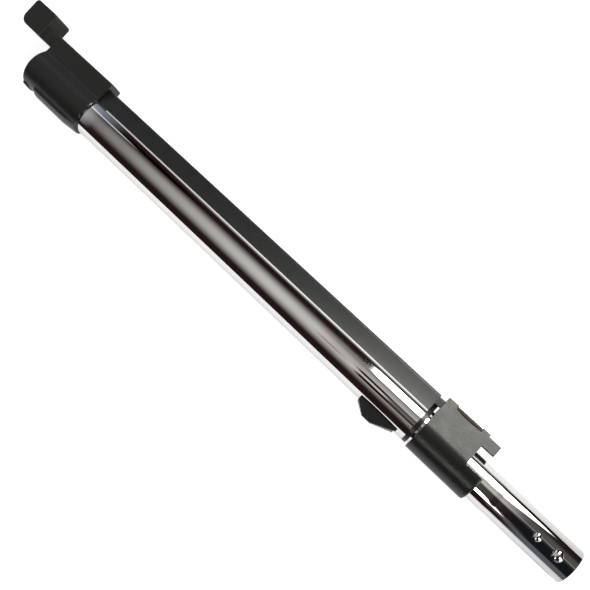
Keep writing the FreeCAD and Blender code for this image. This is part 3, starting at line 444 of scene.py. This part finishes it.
def pale_floor():
    """A wide floor under the wand that reads white and keeps a soft shadow."""
    mesh = bpy.data.meshes.new("floor")
    shape = bmesh.new()
    bmesh.ops.create_grid(shape, x_segments=1, y_segments=1, size=FLOOR_HALF)
    bmesh.ops.translate(shape, verts=shape.verts, vec=(FLOOR_MIDDLE, 0.0, FLOOR_LEVEL))
    shape.to_mesh(mesh)
    shape.free()
    floor = bpy.data.objects.new("floor", mesh)
    scene.collection.objects.link(floor)
    material = bpy.data.materials.new("floor_finish")
    material.use_nodes = True
    tree = material.node_tree
    tree.nodes.clear()
    matt = place(tree, "ShaderNodeBsdfDiffuse", {"Color": FLOOR_GREY})
    spot = place(tree, "ShaderNodeTexCoord").outputs["Object"]
    axes = place(tree, "ShaderNodeSeparateXYZ", {0: spot}).outputs
    # painted shade: the glow that the chrome mirrors dims behind the wand and past the hose end
    painted_shade_behind = ramp(tree, axes["Y"], *FLOOR_SHADE_BEHIND, ramp(tree, axes["X"], *FLOOR_SHADE_NOZZLE))
    mirrored_with_painted_shade = sums(tree, "MULTIPLY", painted_shade_behind, ramp(tree, axes["X"], *FLOOR_SHADE_HOSE))
    to_eye = place(tree, "ShaderNodeLightPath").outputs["Is Camera Ray"]
    strength = ramp(tree, to_eye, 0.0, 1.0, mirrored_with_painted_shade, FLOOR_TO_EYE)
    glow = place(tree, "ShaderNodeEmission", {"Color": WHITE, "Strength": strength})
    both = place(tree, "ShaderNodeAddShader", {0: matt.outputs[0], 1: glow.outputs[0]})
    mix = place(tree, "ShaderNodeMixShader", {0: white_to_eye(tree), 1: matt.outputs[0], 2: both.outputs[0]})
    place(tree, "ShaderNodeOutputMaterial", {"Surface": mix.outputs[0]})
    mesh.materials.append(material)


# Light

ROOM_LIGHT = (0.020, 0.010, 0.009)
# Each panel: start, end and soft edge in degrees across the tubes; near end and far end along them, each
# with its soft edge; the slant of its far end; and its light, which is below zero where it shades the others
PANELS = {
    "overhead": ((-30, 32, 26), (-0.465, 0.32), (0.07, 0.05), 0.0, (0.62, 0.615, 0.585)),
    "overhead end": ((4, 40, 5), (0.07, 0.05), (0.17, 0.03), 0.0, (0.49, 0.485, 0.46)),
    "side window": ((37, 69, 3.0), (-0.065, 0.015), (0.150, 0.02), 0.11, (19.0, 19.1, 17.8)),
    "low window": ((-51.5, -36, 2.5), (0.037, 0.012), (0.164, 0.008), -0.11, (9.0, 9.0, 8.5)),
    "low window end": ((-66, -44, 6), (0.145, 0.01), (0.19, 0.02), 0.0, (0.085, 0.08, 0.08)),
    "nozzle window": ((42, 89, 8), (-0.72, 0.05), (-0.53, 0.03), 0.0, (0.30, 0.35, 0.40)),
    "nozzle streak": ((43, 49, 1.5), (-0.72, 0.05), (-0.495, 0.015), 0.0, (0.62, 0.63, 0.64)),
    "nozzle screen": ((-62, 60, 12), (-0.78, 0.04), (-0.543, 0.008), 0.0, (0.22, 0.23, 0.24)),
    "nozzle shade": ((27, 60, 10), (-0.57, 0.03), (-0.40, 0.05), 0.0, (-0.03, -0.03, -0.03)),
    "nozzle wall": ((-104, -80, 5), (-0.85, 0.05), (-0.60, 0.03), 0.0, (1.2, 1.25, 1.3)),
    "pedal light": ((-40, 60, 20), (-0.80, 0.05), (-0.61, 0.03), 0.0, (0.30, 0.30, 0.29)),
    "end wall": ((-50, 50, 35), (-1.05, 0.02), (-0.90, 0.03), 0.0, (0.26, 0.26, 0.25)),
    "far wall": ((82, 94, 3.0), (-0.40, 0.06), (0.15, 0.03), 0.0, (0.24, 0.24, 0.23)),
    "window frame": ((-5, 32, 6.0), (-0.15, 0.05), (0.08, 0.04), 0.0, (-0.14, -0.15, -0.15)),
    "pedal rim": ((-14, 10, 5), (0.62, 0.05), (0.90, 0.04), 0.0, (6.0, 6.0, 5.7)),
    "hose wall": ((8, 48, 14), (0.17, 0.03), (0.75, 0.10), 0.0, (0.085, 0.08, 0.077)),
    "hose shade": ((-98, -55.5, 4), (0.185, 0.02), (0.75, 0.10), 0.0, (0.085, 0.105, 0.122)),
    "hose dusk": ((-58, 60, 10), (0.17, 0.03), (0.75, 0.10), 0.0, (-0.012, 0.0, 0.001)),
    "lamp rim": ((12.5, 15.5, 0.8), (0.06, 0.03), (0.60, 0.10), 0.0, (0.36, 0.26, 0.215)),
    "hose window": ((-75, 20, 15), (0.88, 0.03), (0.99, 0.02), 0.0, (3.0, 3.0, 2.9)),
    "stand": ((-27, 3, 2.0), (-0.036, 0.012), (0.07, 0.05), 0.0, (-0.44, -0.44, -0.42)),
    "stand top": ((-6, 4, 1.5), (-0.09, 0.01), (-0.036, 0.012), 0.0, (-0.56, -0.57, -0.56)),
    "stand foot": ((-27.5, -16, 1.0), (-0.09, 0.01), (-0.036, 0.012), 0.0, (-0.52, -0.53, -0.51)),
    "stand sheen": ((-32, 0, 6.0), (0.07, 0.05), (0.15, 0.03), 0.0, (0.055, 0.06, 0.055)),
    "lamp shade": ((-14, -5, 3.0), (-0.165, 0.02), (-0.115, 0.02), 0.0, (-0.22, -0.30, -0.31)),
}


def soft_panel():
    """How much of one panel a ray sees, by its angle across the tubes and its reach along them."""
    tree, given, out = new_group(
        "soft_panel", {"Angle": 0.0, "Reach": 0.0, "From": 0.0, "To": 1.0, "Edge": 0.1, "Near": 0.0,
                       "Near edge": 0.1, "Far": 1.0, "Far edge": 0.1, "Slant": 0.0}, ["Light"])
    past = sums(tree, "MULTIPLY", sums(tree, "SUBTRACT", given["Angle"], given["From"]), given["Slant"])
    far = sums(tree, "ADD", given["Far"], past)
    light = 1.0
    for where, limit, edge, start, end in (
            (given["Angle"], given["From"], given["Edge"], 0.0, 1.0),
            (given["Angle"], given["To"], given["Edge"], 1.0, 0.0),
            (given["Reach"], given["Near"], given["Near edge"], 0.0, 1.0),
            (given["Reach"], far, given["Far edge"], 1.0, 0.0)):
        low = sums(tree, "SUBTRACT", limit, edge)
        high = sums(tree, "ADD", limit, edge)
        light = sums(tree, "MULTIPLY", ramp(tree, where, low, high, start, end), light)
    tree.links.new(light, out["Light"])
    return tree


def studio():
    """White to the eye, and soft panels in a dark room to everything else."""
    world = bpy.data.worlds.new("studio")
    scene.world = world
    world.use_nodes = True
    tree = world.node_tree
    tree.nodes.clear()
    way = place(tree, "ShaderNodeTexCoord").outputs["Generated"]
    axes = place(tree, "ShaderNodeSeparateXYZ", {0: way}).outputs
    angle = sums(tree, "ARCTAN2", axes["Y"], axes["Z"])
    panel = soft_panel()
    light = ROOM_LIGHT
    for (start, end, edge), (near, near_edge), (far, far_edge), slant, colour in PANELS.values():
        seen = use_group(tree, panel, {
            "Angle": angle, "Reach": axes["X"], "From": math.radians(start), "To": math.radians(end),
            "Edge": math.radians(edge), "Near": near, "Near edge": near_edge, "Far": far,
            "Far edge": far_edge, "Slant": slant})["Light"]
        light = place(tree, "ShaderNodeVectorMath", {0: seen, 1: colour, 2: light},
                      operation="MULTIPLY_ADD").outputs[0]
    light = place(tree, "ShaderNodeVectorMath", {0: light, 1: (0.0, 0.0, 0.0)},
                  operation="MAXIMUM").outputs[0]
    to_eye = place(tree, "ShaderNodeLightPath").outputs["Is Camera Ray"]
    room = place(tree, "ShaderNodeBackground", {"Color": light, "Strength": 1.0})
    white = place(tree, "ShaderNodeBackground", {"Color": WHITE, "Strength": 1.0})
    mix = place(tree, "ShaderNodeMixShader", {0: to_eye, 1: room.outputs[0], 2: white.outputs[0]})
    place(tree, "ShaderNodeOutputWorld", {"Surface": mix.outputs[0]})


# Camera

CAMERA_PLACE = Vector((0.472, 0.0084, 0.616))
CAMERA_LEAN = math.radians(12.7)    # from straight down, towards the nozzle
CAMERA_TURN = math.radians(43.1)    # about its own line of sight
CAMERA_LENS = 44.85                 # millimetres, with the sensor below
CAMERA_SENSOR = 36.0
CAMERA_NEAREST = 0.01


def photo_camera():
    """A camera over the wand that sees it as the photograph does."""
    lens = bpy.data.cameras.new("camera")
    lens.lens = CAMERA_LENS
    lens.sensor_width = CAMERA_SENSOR
    lens.clip_start = CAMERA_NEAREST
    camera = bpy.data.objects.new("camera", lens)
    scene.collection.objects.link(camera)
    ahead = Vector((-math.sin(CAMERA_LEAN), 0.0, -math.cos(CAMERA_LEAN)))
    along = Vector((math.cos(CAMERA_LEAN), 0.0, -math.sin(CAMERA_LEAN)))
    across = Vector((0.0, 1.0, 0.0))
    right = along * math.cos(CAMERA_TURN) + across * math.sin(CAMERA_TURN)
    up = across * math.cos(CAMERA_TURN) - along * math.sin(CAMERA_TURN)
    turn = Matrix((right, up, -ahead)).transposed().to_4x4()
    camera.matrix_world = Matrix.Translation(CAMERA_PLACE) @ turn
    scene.camera = camera


pale_floor()
studio()
photo_camera()
